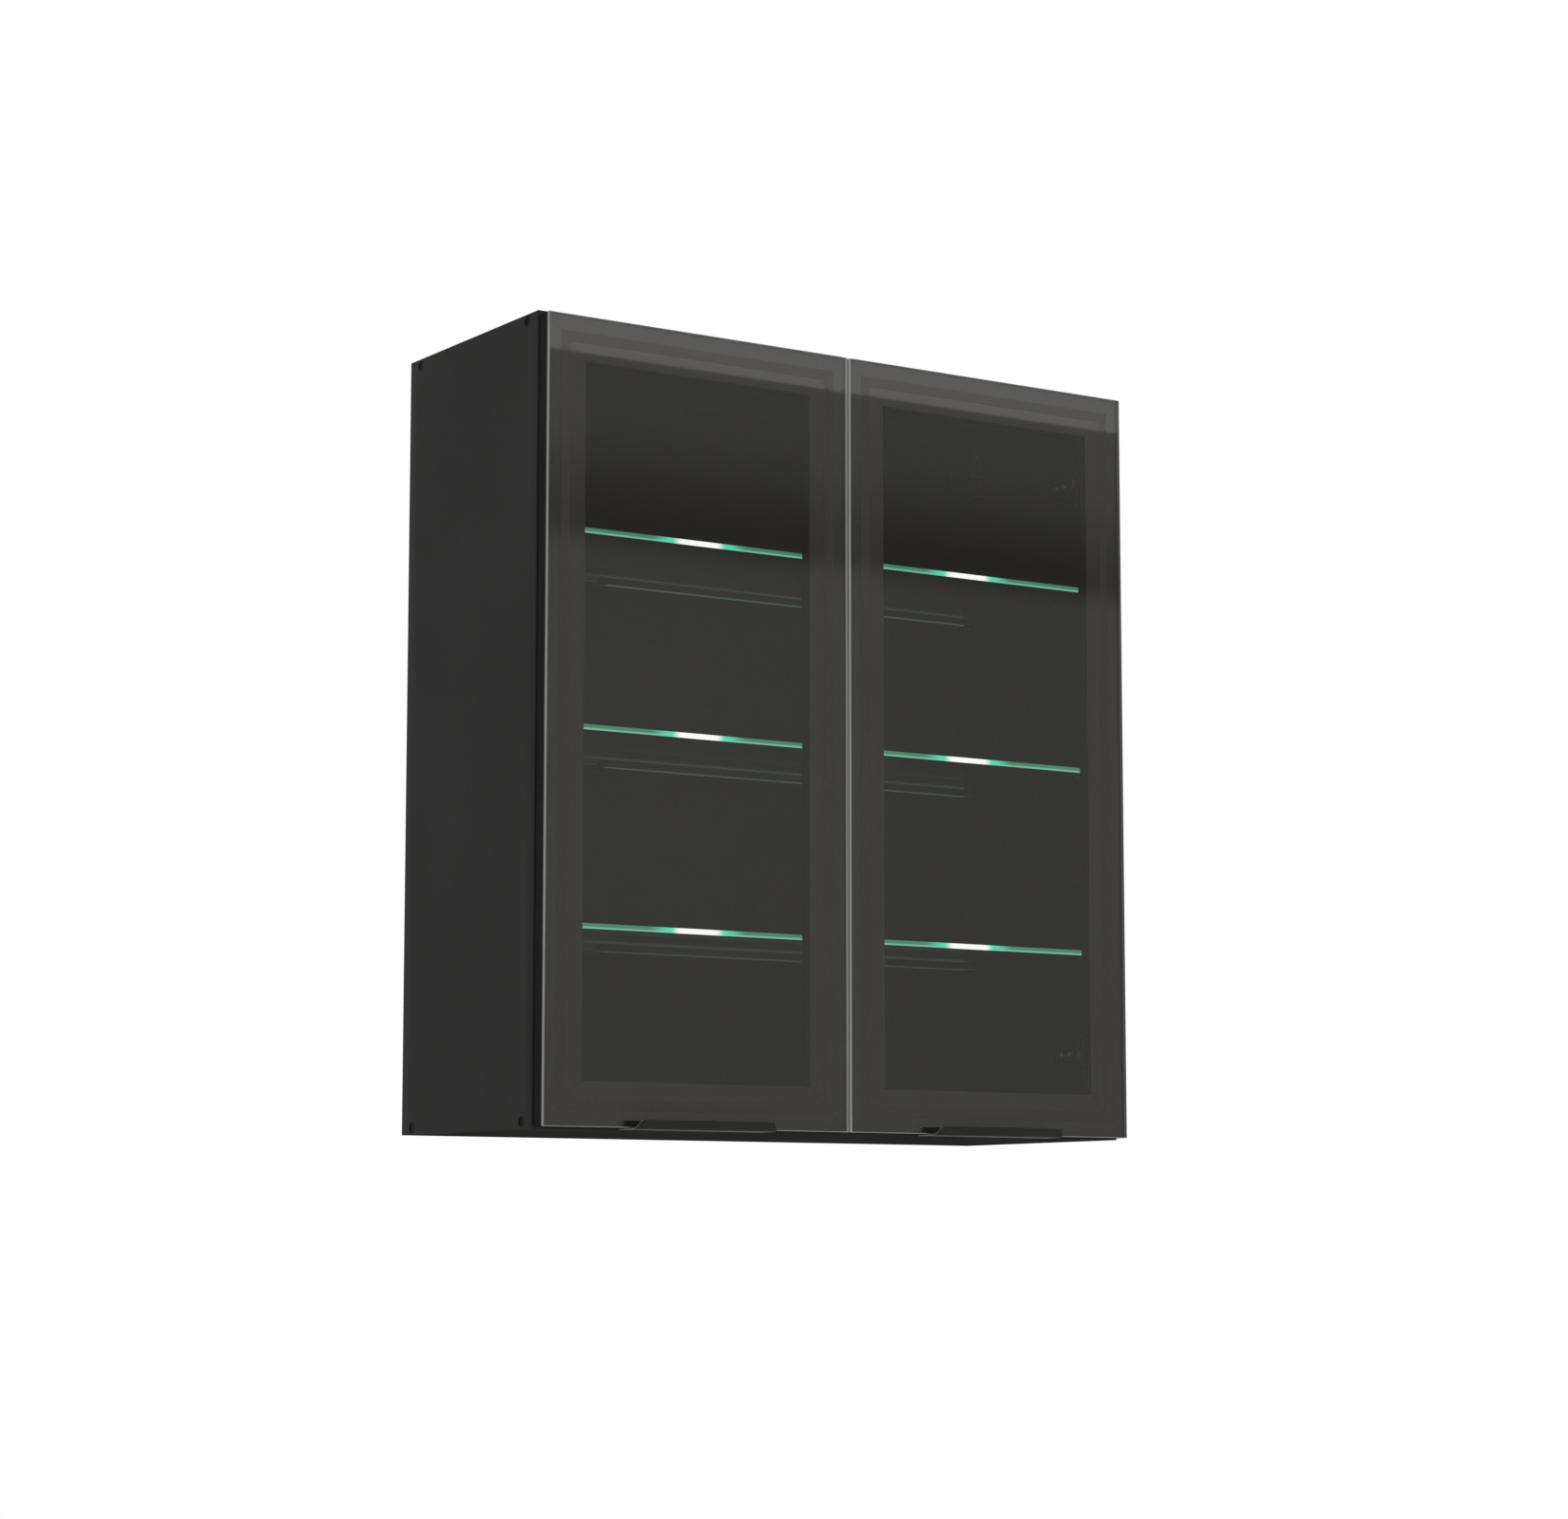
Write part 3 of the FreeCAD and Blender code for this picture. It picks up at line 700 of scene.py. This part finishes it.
def softenEdges(piece, width, segments=2, shortest=0.0, sharpest=35):
    # rounds the sharp edges over a length, so that each catches a fine highlight
    mesh = editMesh(piece)
    sharp = math.radians(sharpest)
    pick(piece, mesh, mesh.edges, lambda edge: len(edge.link_faces) == 2
         and edge.calc_face_angle(0) > sharp and edge.calc_length() > shortest)
    bevelPicked(width, segments)


def paintFaces(piece, index, chosen):
    for face in piece.data.polygons:
        if chosen(face.center, face.normal):
            face.material_index = index


def handOver(piece, body, finishNames, replaced=(), smooth=35):
    activate(piece)
    fixPlace()
    bpy.ops.object.shade_smooth_by_angle(angle=math.radians(smooth))
    for name in finishNames:
        piece.data.materials.append(finishes[name])
    if replaced:
        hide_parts(*replaced)
    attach(piece, body)
    return piece


def addBlock(name, low, high):
    deselectAll()
    bpy.ops.mesh.primitive_cube_add(size=1, location=(low + high) / 2, scale=high - low)
    piece = bpy.context.object
    piece.name = name
    fixPlace()
    return piece


def addRound(vertices, radius, depth):
    # a disc or cylinder whose head lies at the origin and looks up
    deselectAll()
    bpy.ops.mesh.primitive_cylinder_add(vertices=vertices, radius=radius, depth=depth,
                                        end_fill_type="NGON", location=(0, 0, -depth / 2))
    fixPlace()
    return bpy.context.object


def copyNode(nodeName, pieceName):
    # a merged copy of a node's loose triangles, with its flat faces made whole
    piece = bpy.data.objects.new(pieceName, nodes[nodeName].data.copy())
    scene.collection.objects.link(piece)
    piece.data.materials.clear()
    activate(piece)
    if piece.data.has_custom_normals:
        bpy.ops.mesh.customdata_custom_splitnormals_clear()
    bpy.ops.object.mode_set(mode="EDIT")
    bpy.ops.mesh.select_all(action="SELECT")
    bpy.ops.mesh.remove_doubles(threshold=weldReach)
    bpy.ops.mesh.dissolve_limited(angle_limit=math.radians(flatTurn))
    leaveEdit()
    return piece


def solidBoxes(nodeName):
    # the box of each separate solid in a node
    mesh = bmesh.new()
    mesh.from_mesh(nodes[nodeName].data)
    bmesh.ops.remove_doubles(mesh, verts=mesh.verts, dist=weldReach)
    waiting = set(mesh.verts)
    boxes = []
    while waiting:
        reached = [waiting.pop()]
        corners = []
        while reached:
            vertex = reached.pop()
            corners.append(vertex.co.copy())
            for edge in vertex.link_edges:
                other = edge.other_vert(vertex)
                if other in waiting:
                    waiting.remove(other)
                    reached.append(other)
        low = Vector([min(corner[axis] for corner in corners) for axis in range(3)])
        high = Vector([max(corner[axis] for corner in corners) for axis in range(3)])
        boxes.append((low, high))
    mesh.free()
    return boxes


def headPlace(box, look):
    # the middle of the face of a box that looks a given way
    low, high = box
    middle = (low + high) / 2
    half = (high - low) / 2
    return middle + Vector([look[axis] * half[axis] for axis in range(3)])


def placeCopies(name, model, places):
    # a model whose head looks up at the origin, copied to each place and way to look, as one piece
    copies = []
    for number, (point, look) in enumerate(places):
        turn = Vector(look).to_track_quat("Z", "Y").to_matrix().to_4x4()
        copy = bpy.data.objects.new(f"{name}{number}", model.data.copy())
        copy.data.transform(Matrix.Translation(point) @ turn)
        scene.collection.objects.link(copy)
        copies.append(copy)
    activate(copies[0])
    for copy in copies:
        copy.select_set(True)
    bpy.ops.object.join()
    copies[0].name = name
    bpy.data.objects.remove(model)
    return copies[0]


def applyModifier(piece, kind, settings):
    activate(piece)
    modifier = piece.modifiers.new(kind.title(), kind)
    for key, value in settings.items():
        setattr(modifier, key, value)
    bpy.ops.object.modifier_apply(modifier=modifier.name)


def cutAway(piece, cutter):
    applyModifier(piece, "BOOLEAN", {"operation": "DIFFERENCE", "object": cutter, "solver": "EXACT"})
    bpy.data.objects.remove(cutter)


# Carcass: boards with fine rounded arrises and a bare core at the rear

boardSettings = {"arris": 0.0004, "shortest": 0.05, "edgeReach": 0.0006}
bandSettings = {"arris": 0.0006, "shortest": 0.014}
backSettings = {"arris": 0.0003, "shortest": 0.008}


# picks the faces on the cabinet's underside, which take the laminate painted lighter as painted light
def isUnderside(centre, normal):
    return normal.z < -facing and centre.z < cabinetLow.z + boardSettings["edgeReach"]


def makeBoards():
    kit = boardSettings
    for nodeName in ("left_side_panel", "right_side_panel", "top_panel", "bottom_panel"):
        piece = copyNode(nodeName, nodeName.replace("panel", "board"))
        softenEdges(piece, kit["arris"], shortest=kit["shortest"])
        paintFaces(piece, 1, lambda centre, normal: normal.y > facing and centre.y > -kit["edgeReach"])
        paintFaces(piece, 2, isUnderside)
        handOver(piece, "cabinet", ["board", "core", "underside"], [nodeName])


def makeBands():
    for nodeName in ("side_edge_bands", "level_edge_bands"):
        piece = copyNode(nodeName, nodeName.replace("bands", "banding"))
        softenEdges(piece, bandSettings["arris"], shortest=bandSettings["shortest"])
        paintFaces(piece, 1, isUnderside)
        handOver(piece, "cabinet", ["band", "underside"], [nodeName])


def makeBack():
    piece = copyNode("back_panel", "back_sheet")
    softenEdges(piece, backSettings["arris"], shortest=backSettings["shortest"])
    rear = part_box("back_panel")[1].y - boardSettings["edgeReach"]
    paintFaces(piece, 1, lambda centre, normal: normal.y > facing and centre.y > rear)
    handOver(piece, "cabinet", ["backFace", "backRear"], ["back_panel"])


# Caps over the carcass screws: a rimmed disc with a shallow dished face

capSettings = {
    "seam": 0.00015,
    "rim": 0.0011,
    "dishRun": 0.0005,
    "dishDepth": 0.00025,
    "edge": 0.0003,
    "sharpest": 60,
    "vertices": 48,
}


def makeCaps():
    kit = capSettings
    boxes = solidBoxes("screw_caps")
    low, high = boxes[0]
    model = addRound(kit["vertices"], (high.z - low.z) / 2 - kit["seam"], high.x - low.x)
    mesh = editMesh(model, "FACE")
    pick(model, mesh, mesh.faces, lambda face: face.normal.z > facing)
    bpy.ops.mesh.inset(thickness=kit["rim"], depth=0)
    bpy.ops.mesh.inset(thickness=kit["dishRun"], depth=-kit["dishDepth"])
    leaveEdit()
    softenEdges(model, kit["edge"], sharpest=kit["sharpest"])
    places = []
    for box in boxes:
        look = (-1, 0, 0) if box[0].x < 0 else (1, 0, 0)
        places.append((headPlace(box, look), look))
    piece = placeCopies("cover_caps", model, places)
    handOver(piece, "cabinet", ["cap"], ["screw_caps"])


# Screws: a head with a cross recess on a plain shank

screwSettings = {
    "vertices": 32,
    "headShare": 0.8,
    "recessShare": 0.75,
    "rim": 0.00025,
    # each node without its last word, with the sizes of its head, shank and recess
    "kinds": {
        "hinge_plate": {"head": 0.0018, "shank": 0.0030, "cross": 0.0060, "slot": 0.0012},
        "hinge_arm": {"head": 0.0012, "shank": 0.0020, "cross": 0.0046, "slot": 0.0010},
        "hanger": {"head": 0.0030, "shank": 0.0030, "cross": 0.0046, "slot": 0.0011},
        "shelf_light": {"head": 0.0016, "shank": 0.0012, "cross": 0.0017, "slot": 0.0006},
        "left_cup": {"head": 0.0006, "shank": 0.00175, "cross": 0.0042, "slot": 0.0009},
        "right_cup": {"head": 0.0006, "shank": 0.00175, "cross": 0.0042, "slot": 0.0009},
        "left_pull": {"head": 0.0012, "shank": 0.0016, "cross": 0.0036, "slot": 0.0008},
        "right_pull": {"head": 0.0012, "shank": 0.0016, "cross": 0.0036, "slot": 0.0008},
    },
}


def modelScrew(radius, length, kit):
    shared = screwSettings
    head = min(kit["head"], length * shared["headShare"])
    screw = addRound(shared["vertices"], radius, head)
    mesh = editMesh(screw, "FACE")
    pick(screw, mesh, mesh.faces, lambda face: face.normal.z < -facing)
    bpy.ops.mesh.inset(thickness=radius - kit["shank"], depth=0)
    bpy.ops.mesh.extrude_region_move(TRANSFORM_OT_translate={"value": (0, 0, head - length)})
    leaveEdit()
    mesh = editMesh(screw)
    pick(screw, mesh, mesh.edges, lambda edge: all(vertex.co.z > -nearly for vertex in edge.verts))
    bevelPicked(shared["rim"])
    depth = head * shared["recessShare"]
    for turn in (0, math.pi / 2):
        deselectAll()
        bpy.ops.mesh.primitive_cube_add(size=1, location=(0, 0, 0), rotation=(0, 0, turn),
                                        scale=(kit["cross"], kit["slot"], depth * 2))
        cutAway(screw, bpy.context.object)
    return screw


def screwLook(kind, box):
    # the way that a screw's head looks
    if kind.startswith("hinge"):
        return (-math.copysign(1, box[0].x), 0, 0)
    if kind == "shelf_light":
        return (0, 0, -1)
    return (0, -1, 0) if kind == "hanger" else (0, 1, 0)


def makeScrews(kind, kit):
    nodeName = f"{kind}_screws"
    boxes = solidBoxes(nodeName)
    looks = [screwLook(kind, box) for box in boxes]
    size = boxes[0][1] - boxes[0][0]
    length = sum(abs(looks[0][axis]) * size[axis] for axis in range(3))
    radius = (size.x if kind == "shelf_light" else size.z) / 2
    places = [(headPlace(box, look), look) for box, look in zip(boxes, looks)]
    piece = placeCopies(f"{kind}_cross_screws", modelScrew(radius, length, kit), places)
    handOver(piece, bodyOf(nodeName), ["steel"], [nodeName])


# Glass shelves: ground arrises, a front edge with a painted glow and dim far edges with a thin painted glow
# line

shelfSettings = {"arris": 0.0006, "edgeFacing": 0.3, "smooth": 20}


def makeShelf(level):
    nodeName = f"{level}_glass_shelf"
    low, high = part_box(nodeName)
    edge = shelfSettings["edgeFacing"]
    clipX = max(abs((box[0].x + box[1].x) / 2) for box in solidBoxes("shelf_light_lenses"))
    finishes[f"{level}Lit"] = finishPaintedGlowEdge(f"{level}ShelfPaintedGlowEdge", low.z, high.z, clipX)
    finishes[f"{level}Far"] = finishFarEdge(f"{level}ShelfFarEdge", low.z, high.z)
    piece = addBlock(f"{level}_shelf_glass", low, high)
    softenEdges(piece, shelfSettings["arris"])
    paintFaces(piece, 1, lambda centre, normal: abs(normal.z) < facing)
    paintFaces(piece, 2, lambda centre, normal: normal.y > edge)
    paintFaces(piece, 3, lambda centre, normal: normal.y < -edge)
    names = ["shelf", "endEdge", f"{level}Far", f"{level}Lit"]
    handOver(piece, "cabinet", names, [nodeName], shelfSettings["smooth"])


# Door panes: a tinted sheet with ground and polished edges

paneSettings = {"arris": 0.0008, "faceFacing": 0.95, "smooth": 20}


def makePane(side):
    kit = paneSettings
    nodeName = f"{side}_glass_pane"
    piece = addBlock(f"{side}_door_glass", *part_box(nodeName))
    softenEdges(piece, kit["arris"])
    paintFaces(piece, 1, lambda centre, normal: abs(normal.y) < kit["faceFacing"])
    handOver(piece, f"{side}_door", ["pane", "paneEdge"], [nodeName], kit["smooth"])


# Edge pulls: one bent sheet under the door, with a leaning lip cut back at its ends

pullSettings = {
    "sheet": 0.0015,
    "lipHeight": 0.0095,
    "lean": 0.0065,
    "endCut": 0.0065,
    "bendRadius": 0.0016,
    "bendSegments": 5,
    "arris": 0.0003,
    "sharpest": 50,
    "cutFacing": 0.5,
}


def makePull(side):
    kit = pullSettings
    nodeName = f"{side}_edge_pull"
    low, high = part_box(nodeName)
    footFront = low.y + kit["lean"]
    deselectAll()
    middle = ((low.x + high.x) / 2, (footFront + high.y) / 2, low.z)
    bpy.ops.mesh.primitive_plane_add(size=1, location=middle)
    piece = bpy.context.object
    piece.name = f"{side}_bottom_pull"
    piece.scale = (high.x - low.x, high.y - footFront, 1)
    fixPlace()
    # the lip rises and leans forward from the front edge, the flange stands up from the rear edge
    runs = (
        (lambda vertex: vertex.co.y < footFront + nearly, (0, -kit["lean"], kit["lipHeight"])),
        (lambda vertex: vertex.co.y > high.y - nearly, (0, 0, high.z - low.z)),
    )
    for chosen, step in runs:
        mesh = editMesh(piece)
        pick(piece, mesh, mesh.edges, lambda edge: all(chosen(vertex) for vertex in edge.verts))
        bpy.ops.mesh.extrude_region_move(TRANSFORM_OT_translate={"value": step})
        leaveEdit()
    lipTop = low.z + kit["lipHeight"] - nearly
    for end, push in ((low.x, 1), (high.x, -1)):
        mesh = editMesh(piece, "VERT")
        pick(piece, mesh, mesh.verts, lambda vertex: abs(vertex.co.x - end) < nearly
             and vertex.co.y < footFront - nearly and vertex.co.z > lipTop)
        bpy.ops.transform.translate(value=(push * kit["endCut"], 0, 0))
        leaveEdit()
    mesh = editMesh(piece)
    pick(piece, mesh, mesh.edges, lambda edge: len(edge.link_faces) == 2
         and all(vertex.co.z < low.z + nearly for vertex in edge.verts))
    bevelPicked(kit["bendRadius"], kit["bendSegments"])
    mesh = editMesh(piece, "FACE")
    pick(piece, mesh, mesh.faces, lambda face: True)
    bpy.ops.mesh.normals_make_consistent(inside=False)
    leaveEdit()
    foot = min(piece.data.polygons, key=lambda face: face.center.z)
    offset = -1 if foot.normal.z < 0 else 1
    applyModifier(piece, "SOLIDIFY", {"thickness": kit["sheet"], "offset": offset, "use_even_offset": True})
    softenEdges(piece, kit["arris"], sharpest=kit["sharpest"])
    paintFaces(piece, 1, lambda centre, normal: abs(normal.x) > kit["cutFacing"])
    handOver(piece, f"{side}_door", ["pull", "pullCut"], [nodeName])


# Door frames: mitred members with a fine arris, so that each mitre reads as a joint

frameSettings = {"arris": 0.0004, "shortest": 0.045, "edgeFacing": 0.5}


def makeFrame(side):
    kit = frameSettings
    for member in ("hinge_stile", "free_stile", "top_rail", "bottom_rail"):
        nodeName = f"{side}_{member}"
        piece = copyNode(nodeName, f"{nodeName}_board")
        softenEdges(piece, kit["arris"], shortest=kit["shortest"])
        paintFaces(piece, 1, lambda centre, normal: abs(normal.y) < kit["edgeFacing"])
        handOver(piece, f"{side}_door", ["frame", "frameEdge"], [nodeName])


# Fittings that keep the node's shape and get rounded stamped or moulded edges

fittingSharpest = 50

# each node's new last word, edge radius, slot and finish
fittingSettings = {
    "shelf_pins": ("pegs", 0.0003, "bright_steel", "pin"),
    "shelf_pads": ("cushions", 0.0002, "soft_pad", "soft"),
    "shelf_light_clips": ("channels", 0.0004, "clip_aluminium", "clip"),
    "shelf_light_lenses": ("strips", 0.0002, "light_lens", "lens"),
    "hanger_housings": ("shells", 0.0007, "hanger_plastic", "hanger"),
    "hanger_hooks": ("strips", 0.0004, "bright_steel", "hook"),
    "hinge_mounting_plates": ("bases", 0.0004, "bright_steel", "steel"),
    "hinge_arms": ("levers", 0.00035, "bright_steel", "steel"),
    "hinge_arm_pins": ("rivets", 0.0002, "bright_steel", "steel"),
    "hinge_closing_springs": ("leaves", 0.00012, "bright_steel", "steel"),
    "left_hinge_links": ("cheeks", 0.00012, "bright_steel", "steel"),
    "right_hinge_links": ("cheeks", 0.00012, "bright_steel", "steel"),
    "left_hinge_cups": ("pots", 0.00022, "bright_steel", "steel"),
    "right_hinge_cups": ("pots", 0.00022, "bright_steel", "steel"),
}


def makeFittings():
    for nodeName, (word, width, slotName, finishName) in fittingSettings.items():
        piece = copyNode(nodeName, f"{nodeName}_{word}")
        softenEdges(piece, width, sharpest=fittingSharpest)
        handOver(piece, bodyOf(nodeName), [finishName], [nodeName])


# Bumpers: low silicone domes on the doors' free stiles

bumperSettings = {"vertices": 40, "crown": 0.0009, "segments": 5}


def makeBumpers(side):
    kit = bumperSettings
    nodeName = f"{side}_bumpers"
    boxes = solidBoxes(nodeName)
    low, high = boxes[0]
    model = addRound(kit["vertices"], (high.z - low.z) / 2, high.y - low.y)
    mesh = editMesh(model)
    pick(model, mesh, mesh.edges, lambda edge: all(vertex.co.z > -nearly for vertex in edge.verts))
    bevelPicked(kit["crown"], kit["segments"])
    rearward = (0, 1, 0)
    places = [(headPlace(box, rearward), rearward) for box in boxes]
    piece = placeCopies(f"{side}_bumper_domes", model, places)
    handOver(piece, f"{side}_door", ["soft"], [nodeName])


# Nodes that stay as they are, with a finish

keptNodes = {
    "confirmat_screws": "steel",
    "panel_dowels": "beech",
    "hanger_pegs": "hanger",
    "left_corner_dowels": "beech",
    "right_corner_dowels": "beech",
    # the tapes take the frame's grey painted lighter as painted light
    "left_bonding_tape": "tape",
    "right_bonding_tape": "tape",
    "left_cup_pins": "steel",
    "right_cup_pins": "steel",
}


def finishKeptNodes():
    for nodeName, finishName in keptNodes.items():
        for materialSlot in nodes[nodeName].material_slots:
            materialSlot.material = finishes[finishName]


# Stage

def makeFloor(settings):
    deselectAll()
    height = cabinetLow.z - settings["drop"]
    bpy.ops.mesh.primitive_circle_add(vertices=settings["vertices"], radius=settings["radius"],
                                      fill_type="NGON", location=(0, 0, height))
    floor = bpy.context.object
    floor.name = "studioFloor"
    finish = Finish("paleFloor")
    cloud = finish.noise(*settings["cloud"])
    finish.shade({
        "Base Color": finish.blend(cloud, toned(settings["colour"], settings["darker"]), settings["colour"]),
        "Roughness": settings["roughness"],
    })
    floor.data.materials.append(finish.material)


def lightWorld(settings):
    # the lens sees a white backdrop; the surfaces see a softer surround
    world = bpy.data.worlds.new("studioSurround")
    scene.world = world
    world.use_nodes = True
    finish = Finish("surround", world.node_tree)
    seen = finish.add("ShaderNodeLightPath", output="Is Camera Ray")
    _, depth, height = finish.axes(finish.place())
    rise = height / abs(depth)
    low, dark, high = settings["bandStops"]
    shade = finish.between(rise, low, dark, 0, 1) * finish.between(rise, dark, high, 1, 0)
    surround = finish.blend(shade, settings["surround"], settings["shadeBand"])
    colour = finish.blend(seen, surround, settings["backdrop"])
    surface = finish.add("ShaderNodeBackground", {}, {"Color": colour, "Strength": 1.0})
    finish.close(surface, "ShaderNodeOutputWorld")


def main():
    makeCamera(cameraSettings)
    scene.view_settings.view_transform = "Standard"
    lightWorld(lightSettings)
    for name in ("sideLight", "frontLight", "rearLight", "ceilingCard"):
        makeAreaLight(name, lightSettings[name], mirrored=name == "ceilingCard")
    makeFloor(floorSettings)
    print("stage ready")
    mixFinishes()
    makeBoards()
    makeBands()
    makeBack()
    makeCaps()
    print("carcass ready")
    for level in ("lower", "middle", "upper"):
        makeShelf(level)
    print("shelves ready")
    for side in sides:
        makePane(side)
        makeFrame(side)
        makePull(side)
        makeBumpers(side)
    print("doors ready")
    makeFittings()
    for kind, kit in screwSettings["kinds"].items():
        makeScrews(kind, kit)
    finishKeptNodes()
    print("fittings ready")


main()
deselectAll()
